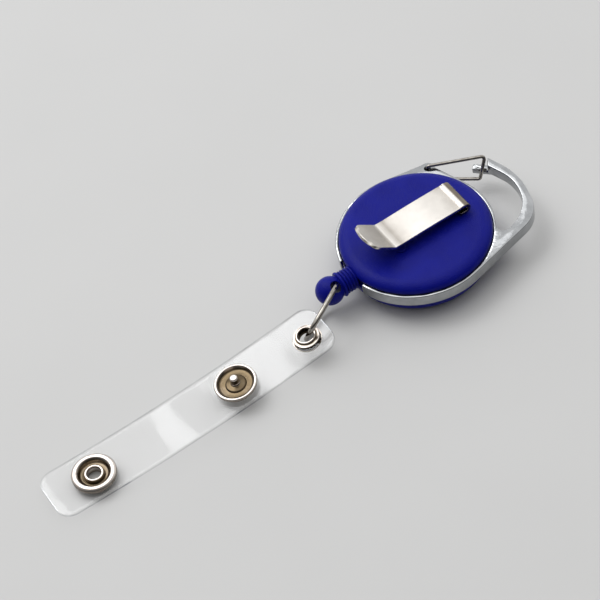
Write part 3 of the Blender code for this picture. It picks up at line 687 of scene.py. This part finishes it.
def make_bead():
    """Ball end: four ribs, a collar and the ball, with the ring's hole across the ball."""
    start = high("cord_bead").y
    neck = BALL.y + 2.5
    collar = neck + COLLAR_LENGTH
    pitch = (start - neck - COLLAR_LENGTH) / RIB_COUNT
    corners = [((0, start), 0), ((STEM_RADIUS - 0.2, start), 0.2)]
    for index in range(RIB_COUNT):
        top = start - 0.25 - index * pitch
        corners += [((RIB_RADIUS, top), 0.22), ((RIB_RADIUS, top - pitch * 0.52), 0.22),
                    ((STEM_RADIUS, top - pitch * 0.62), 0.12),
                    ((STEM_RADIUS, top - pitch * 0.92), 0.12)]
    corners += [((COLLAR_RADIUS, collar), 0.35), ((COLLAR_RADIUS, neck + 0.1), 0.35),
                ((STEM_RADIUS, neck), 0.15)]
    from_pole = math.degrees(math.acos(STEM_RADIUS / BALL_RADIUS))
    ball = arc((0, BALL.y), BALL_RADIUS, from_pole, -90, 6)
    corners += [(point, 0) for point in ball[:-1]] + [((0, BALL.y - BALL_RADIUS), 0)]
    along = Matrix.Translation((0, 0, BALL.z)) @ Matrix.Rotation(-math.pi / 2, 4, "X")
    bead = turned("ball_end", corners, 64, along)
    turn = RING_AXIS.to_track_quat("Z", "Y").to_matrix().to_4x4()
    cut(bead, drill(BALL_HOLE, -6, 6, Matrix.Translation(HOLE_CENTRE) @ turn))
    crisp(bead, 50)
    show(bead, BLUE_PLASTIC, "blue_plastic", "bead", "cord_bead")


def make_cord():
    """Cord from the spool to the ball end, fixed where it lies."""
    start, end = high("cord_lead").y, low("cord_lead").y
    rows, sides = 24, 12
    points = []
    for row in range(rows + 1):
        y = start + (end - start) * row / rows
        points += [(x, y, CAST_MIDDLE + z) for x, z in arc((0, 0), CORD_RADIUS, 0, 330, 30)]
    faces = [tuple(reversed(range(sides))), tuple(range(rows * sides, (rows + 1) * sides))]
    for row in range(rows):
        for side in range(sides):
            one, two = row * sides + side, row * sides + (side + 1) % sides
            faces.append((one, two, two + sides, one + sides))
    lead = cage("cord", points, faces=faces)
    lead.data.shade_smooth()
    show(lead, BLACK_BRAID, "black_nylon", None, "cord_lead")
    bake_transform(lead)


def make_ring():
    """Oval wire ring through the ball and the eyelet."""
    along = (NEAR_EYELET - HOLE_CENTRE).normalized()
    near_ball = HOLE_CENTRE - along * 0.45
    centre = (near_ball + NEAR_EYELET) / 2
    half_length = (NEAR_EYELET - near_ball).length / 2
    count, power = 120, 2 / 3
    path = []
    for index in range(count):
        turn = math.tau * index / count
        run = math.copysign(abs(math.cos(turn)) ** power, math.cos(turn)) * half_length
        rise = math.copysign(abs(math.sin(turn)) ** power, math.sin(turn)) * RING_HALF_WIDTH
        path.append(centre + along * run + RING_AXIS * rise)
    show(wire("oval_ring", path, RING_WIRE, closed=True), WIRE_STEEL, "steel", "ring", "link_ring")


# ---- Strap and snaps ----

def strap_height(distance):
    return STRAP_REST + STRAP_RISE * max(0.0, 1 - distance / STRAP_FLAT_FROM) ** 2


def strap_place(distance):
    """Frame on the strap: X across it, Y towards the ring, Z out of its upper face."""
    run = (SOCKET_PLAN - EYELET_PLAN).normalized()
    spot = EYELET_PLAN + run * distance
    rise = (strap_height(distance - 0.01) - strap_height(distance + 0.01)) / 0.02
    along = Vector((-run.x, -run.y, rise)).normalized()
    across = Vector((-run.y, run.x, 0))
    place = Matrix((across, along, across.cross(along))).transposed().to_4x4()
    place.translation = (*spot, strap_height(distance))
    return place


def hump(distance, top, spread):
    return math.exp(-((distance - top) / spread) ** 2)


def strap_warp(distance, across):
    """Slight waves that the set snaps and an old fold leave in the sheet."""
    fold = 0.10 * hump(distance, 33, 4.5)
    pucker = 0.08 * hump(distance, 8, 4) * (1 + 0.3 * across)
    tail = 0.08 * hump(distance, 66, 3.5) * (1 - across) / 2
    return fold + pucker + tail


def make_strap():
    """Clear strap in one piece, with its snap end lying open."""
    columns = 12
    length = TAIL_END - RING_END
    stations = {RING_END + length * index / STRAP_ROWS for index in range(STRAP_ROWS + 1)}
    for edge, sign in ((RING_END, 1), (TAIL_END, -1)):
        for index in range(9):
            stations.add(edge + sign * STRAP_CORNER * (1 - math.cos(math.radians(10 * index))))
    stations = sorted(stations)
    points = []
    for distance in stations:
        depth = STRAP_CORNER - min(distance - RING_END, TAIL_END - distance)
        inset = STRAP_CORNER - math.sqrt(STRAP_CORNER ** 2 - max(0.0, depth) ** 2)
        half = STRAP_WIDTH / 2 - inset
        place = strap_place(distance)
        for column in range(columns + 1):
            across = 2 * column / columns - 1
            spot = Vector((across * half - SNAP_OFFSET, 0, strap_warp(distance, across)))
            points.append(place @ spot)
    width = columns + 1
    faces = [(row * width + column, row * width + column + 1,
              (row + 1) * width + column + 1, (row + 1) * width + column)
             for row in range(len(stations) - 1) for column in range(columns)]
    strap = cage("strap", points, faces=faces)
    stack(strap, "SOLIDIFY", thickness=STRAP_THICKNESS * MM, offset=0)
    bevel(strap, 0.16, 3, 60)
    cut(strap, drill(2.4, -3, 3, strap_place(0)), drill(1.3, -3, 3, strap_place(STUD_AT)),
        drill(2.5, -3, 3, strap_place(SOCKET_AT)))
    strap.data.shade_smooth()
    crisp(strap, 35)
    # Painted shade on the cut edges: steep faces darkened, fully beside the snaps on the +X side
    # and 0.62 elsewhere.
    edge = strap.data.attributes.new("edge", "FLOAT", "POINT")
    for vertex, value in zip(strap.data.vertices, edge.data):
        steep = min(1.0, max(0.0, (0.9 - abs(vertex.normal.z)) / 0.5))
        distance = (vertex.co.to_2d() / MM - EYELET_PLAN).length
        beside_snap = vertex.normal.x > 0 and (abs(distance - STUD_AT - 1) < 3.5
                                               or abs(distance - SOCKET_AT + 1) < 4.5)
        value.value = steep * (1.0 if beside_snap else 0.62)
    show(strap, CLEAR_VINYL, "clear_vinyl", None, "strap_tab", "strap_flap")
    strap.visible_shadow = False
    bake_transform(strap)


def dish_piece(name, corners, distance, rim, steps=72):
    """Turned snap part with a dish attribute: 0 at its rim and 1 down inside it. The attribute is
    painted shade, and on the outer wall below the rim a painted dark reflection.
    """
    piece = turned(name, corners, steps)
    settle(piece)
    shade = piece.data.attributes.new("dish", "FLOAT", "POINT")
    outer = max(corner[0][0] for corner in corners)
    for vertex, value in zip(piece.data.vertices, shade.data):
        radius = math.hypot(vertex.co.x, vertex.co.y) / MM
        # Darker the deeper below the rim: painted shade.
        deep = min(1.0, max(0.0, (rim - vertex.co.z / MM) / 0.4))
        inside = min(1.0, max(0.0, (outer - 0.5 - radius) / 0.2))
        value.value = deep * inside if radius < outer - 0.1 else 0.7 * deep
    return settle(piece, strap_place(distance))


def make_stud():
    """Snap stud: rolled rim, dish, base ring and rounded pin, with its rivet below the strap."""
    base, rim = SNAP_BASE, SNAP_RIM
    floor = base + 0.55
    pin_top = SKIN + 0.3 + 3.0
    corners = (((0, pin_top), 0), ((1.0, pin_top), 0.45), ((0.82, floor + 0.9), 0.3),
               ((1.1, floor + 0.5), 0.3), ((2.3, floor + 0.35), 0.35), ((2.45, floor), 0.12),
               ((3.9, floor), 0.5), ((4.4, rim), 0.3), ((STUD_RADIUS, rim), 0.35),
               ((STUD_RADIUS, rim - 0.75), 0.2), ((4.3, base + 0.2), 0.3), ((3.9, base), 0.1),
               ((0, base), 0))
    show(dish_piece("stud_dish", corners, STUD_AT, rim), SNAP_NICKEL, "nickel", "strap",
         "snap_stud")
    make_foot("stud_foot", STUD_AT, 0.0, 3.2, "strap", "stud_rivet")


def make_foot(name, distance, bore, radius, body, node):
    """Rivet flange under the strap, with its shank through the hole."""
    under = STRAP_UNDER
    shank = bore + 0.5 if bore else 1.0
    corners = [((bore, SKIN), 0), ((shank, SKIN), 0), ((shank, under), 0), ((radius, under), 0.1),
               ((radius, under - 0.4), 0.2), ((bore, under - 0.45), 0.15), ((bore, SKIN), 0)]
    if not bore:
        corners = corners[:-1]
    show(dish_piece(name, corners, distance, under - 2, 48), SNAP_NICKEL, "nickel", body, node)


def make_socket():
    """Snap socket: broad rolled rim round a dish, and the hollow rivet's tube inside it."""
    base, rim = SNAP_BASE, SNAP_RIM
    floor = base + 0.3
    corners = (((1.7, floor), 0), ((3.2, floor), 0.4), ((3.55, rim - 0.5), 0.3),
               ((4.0, rim), 0.4), ((4.7, rim), 0.4), ((SOCKET_RADIUS, rim - 0.45), 0.4),
               ((SOCKET_RADIUS, base + 0.3), 0.2), ((4.7, base), 0.2), ((1.7, base), 0),
               ((1.7, floor), 0))
    show(dish_piece("socket_dish", corners, SOCKET_AT, rim), SNAP_NICKEL, "nickel", "flap",
         "snap_socket")
    tube_top = floor + 0.75
    under = STRAP_UNDER
    tube = (((1.62, tube_top - 0.25), 0), ((1.75, tube_top), 0.15), ((2.15, tube_top), 0.2),
            ((TUBE_RADIUS, floor), 0.1), ((TUBE_RADIUS, under), 0), ((3.4, under), 0.1),
            ((3.4, under - 0.3), 0.15), ((1.62, under - 0.3), 0.1), ((1.62, tube_top - 0.25), 0))
    show(dish_piece("socket_tube", tube, SOCKET_AT, tube_top - 0.3, 64), SNAP_NICKEL, "nickel",
         "flap", "socket_rivet")


def make_eyelet():
    """Rolled eyelet barrel with its flange, and the washer under the strap."""
    top = SKIN + 0.95
    under = -SKIN - 0.65
    corners = (((1.88, top - 0.3), 0), ((2.0, top), 0.12), ((2.32, top), 0.18),
               ((2.4, SKIN + 0.4), 0.15), ((3.1, SKIN + 0.35), 0.2), ((3.2, SKIN + 0.04), 0.1),
               ((2.35, SKIN + 0.04), 0), ((2.35, under), 0.1), ((1.88, under), 0.1),
               ((1.88, top - 0.3), 0))
    show(dish_piece("eyelet_barrel", corners, 0, top + 0.05, 64), SNAP_NICKEL, "nickel", "strap",
         "strap_eyelet")
    ring = (((2.5, -SKIN - 0.04), 0), ((3.5, -SKIN - 0.04), 0.1), ((3.5, -SKIN - 0.4), 0.15),
            ((3.0, under), 0.2), ((2.5, under), 0.1), ((2.5, -SKIN - 0.04), 0))
    # The washer under the strap is darkened by the dish attribute: painted shade.
    show(dish_piece("eyelet_ring", ring, 0, 0, 64), SNAP_NICKEL, "nickel", "strap",
         "eyelet_washer")


# ---- Inner pieces kept from the model ----

def finish_inner_nodes():
    finishes = {"clip_rivet": INNER_NICKEL, "centre_post": WIRE_STEEL, "power_spring": SPRING_STEEL,
                "spool": SPOOL_PLASTIC, "wound_cord": BLACK_BRAID}
    for node, finish in finishes.items():
        slots = frame["nodes"][node].data.materials
        slots.clear()
        slots.append(finish)


# ---- Camera, light and floor ----

CAMERA_PLACE = (0.33138, -0.16905, 0.44657)
CAMERA_RIGHT = Vector((0.54008, 0.82825, -0.14938))
CAMERA_AHEAD = Vector((-0.58603, 0.24270, -0.77309))
LIT_POINT = Vector((0.0, -0.035, 0.0))
ROOM_BRIGHTEST = (-0.586, 0.243, 0.773)
ROOM_TONES = ((0.0, 0.10), (0.25, 0.40), (0.5, 0.95), (0.75, 1.22), (1.0, 1.25))
FLOOR_HALF = 1500


def make_camera():
    data = bpy.data.cameras.new("camera")
    data.lens = 150
    data.sensor_width = 36
    data.clip_start = 0.05
    camera = bpy.data.objects.new("camera", data)
    above = CAMERA_RIGHT.cross(CAMERA_AHEAD)
    camera.matrix_world = Matrix((CAMERA_RIGHT, above, -CAMERA_AHEAD)).transposed().to_4x4()
    camera.location = CAMERA_PLACE
    bpy.context.scene.collection.objects.link(camera)
    bpy.context.scene.camera = camera


def area_light(name, direction, distance, size, power, tall=None):
    """Soft light a distance in metres from the reel, square unless it has a height of its own."""
    data = bpy.data.lights.new(name, "AREA")
    data.shape = "RECTANGLE"
    data.size = size
    data.size_y = tall or size
    data.energy = power
    lamp = bpy.data.objects.new(name, data)
    away = Vector(direction).normalized()
    lamp.location = away * distance + LIT_POINT
    lamp.rotation_euler = away.to_track_quat("Z", "Y").to_euler()
    bpy.context.scene.collection.objects.link(lamp)


def make_room():
    """Bright behind and above the reel, dim towards the horizon and in front."""
    world = bpy.data.worlds.new("room")
    bpy.context.scene.world = world
    world.use_nodes = True
    tree = world.node_tree
    place = tree.nodes.new("ShaderNodeTexCoord")
    facing = tree.nodes.new("ShaderNodeVectorMath")
    facing.operation = "DOT_PRODUCT"
    facing.inputs[1].default_value = ROOM_BRIGHTEST
    ramp = tree.nodes.new("ShaderNodeValToRGB")
    for position, shade in ROOM_TONES:
        stop = ramp.color_ramp.elements.new(position)
        stop.color = (shade, shade, shade * 0.99, 1)
    ramp.color_ramp.elements.remove(ramp.color_ramp.elements[0])
    ramp.color_ramp.elements.remove(ramp.color_ramp.elements[-1])
    tree.links.new(place.outputs["Generated"], facing.inputs[0])
    tree.links.new(facing.outputs["Value"], ramp.inputs["Fac"])
    tree.links.new(ramp.outputs["Color"], tree.nodes["Background"].inputs["Color"])
    tree.nodes["Background"].inputs["Strength"].default_value = 1.0


def make_floor():
    half = FLOOR_HALF
    floor = cage("floor", [(-half, -half, 0), (half, -half, 0), (half, half, 0), (-half, half, 0)],
                 faces=[(0, 1, 2, 3)])
    finish, tree, shader = new_finish("paper", (0.555, 0.555, 0.555))
    shader.inputs["Roughness"].default_value = 0.9
    paper = tint(tree, noise(tree, 40.0), (0.55, 0.55, 0.55), (0.56, 0.56, 0.56))
    tree.links.new(paper, shader.inputs["Base Color"])
    floor.data.materials.append(finish)


make_camera()
make_room()
make_floor()
area_light("softbox", (-0.55, -0.20, 0.80), 0.9, 0.45, 2.0)
area_light("ceiling", (-0.30, 0.05, 0.95), 0.55, 0.4, 0.45)
area_light("strip", (-0.586, 0.158, 0.775), 0.9, 0.05, 0.3, tall=0.3)
bpy.context.scene.view_settings.view_transform = "Standard"

make_casting()
make_gate()
make_covers()
make_clip()
make_bead()
make_cord()
make_ring()
make_strap()
make_stud()
make_socket()
make_eyelet()
finish_inner_nodes()
